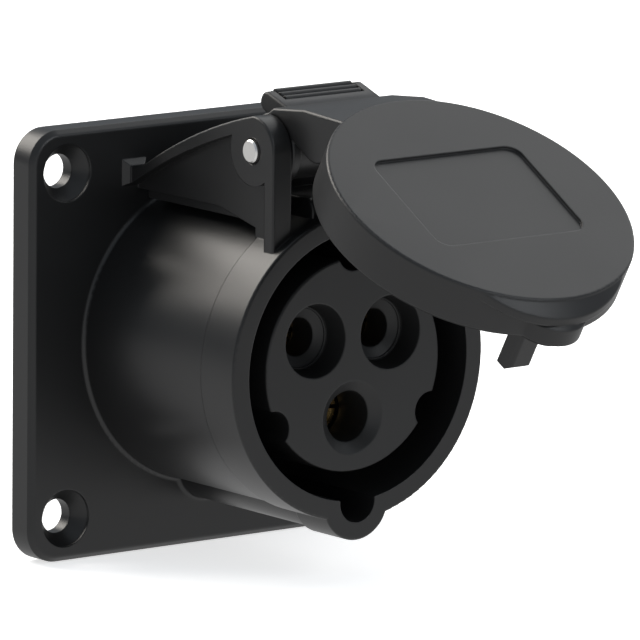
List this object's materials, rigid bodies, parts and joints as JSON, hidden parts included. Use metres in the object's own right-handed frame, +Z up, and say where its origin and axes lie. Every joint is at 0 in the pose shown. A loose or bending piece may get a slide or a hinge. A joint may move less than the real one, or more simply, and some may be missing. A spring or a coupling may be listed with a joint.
{
  "type": "industrial panel socket",
  "caption": "Panel-mounted round power socket with a square flange, keyed collar and a sprung, gasketed hinged lid.",
  "frame": {"origin": "middle of the flange's back face, on the socket's axis", "axes": "-Y out of the panel along the socket's axis towards the user, +Z up to the hinge, +X to the user's right"},
  "size_m": [0.075, 0.1191, 0.0842],
  "materials": {
    "housing_plastic": "black moulded plastic, satin",
    "lid_plastic": "black moulded plastic, satin, finely eroded",
    "insulator_plastic": "black moulded plastic, satin",
    "seal_rubber": "black soft rubber, matte",
    "pin_steel": "bright turned steel",
    "spring_steel": "drawn spring wire",
    "contact_brass": "turned brass",
    "screw_steel": "zinc-plated steel"
  },
  "bodies": {
    "socket": {"housing": "housing_plastic", "flange_gasket": "seal_rubber", "hinge_pin": "pin_steel", "hinge_spring": "spring_steel", "contact_carrier": "insulator_plastic", "terminal_block": "insulator_plastic", "line_contact": "contact_brass", "neutral_contact": "contact_brass", "earth_contact": "contact_brass", "live_contact_rings": "spring_steel", "earth_contact_ring": "spring_steel", "terminal_screws": "screw_steel", "carrier_screws": "screw_steel", "block_screw": "screw_steel"},
    "cover": {"lid": "lid_plastic", "lid_gasket": "seal_rubber"}
  },
  "joints": [
    {"name": "lid_hinge", "type": "hinge", "parent": "socket", "child": "cover", "pos_m": [0, -0.0403, 0.0373], "axis": [1, 0, 0], "range_deg": [-40, 60], "stiffness_Nm_per_rad": 0.09, "springref_deg": 80.21, "deforming": ["hinge_spring"]}
  ]
}
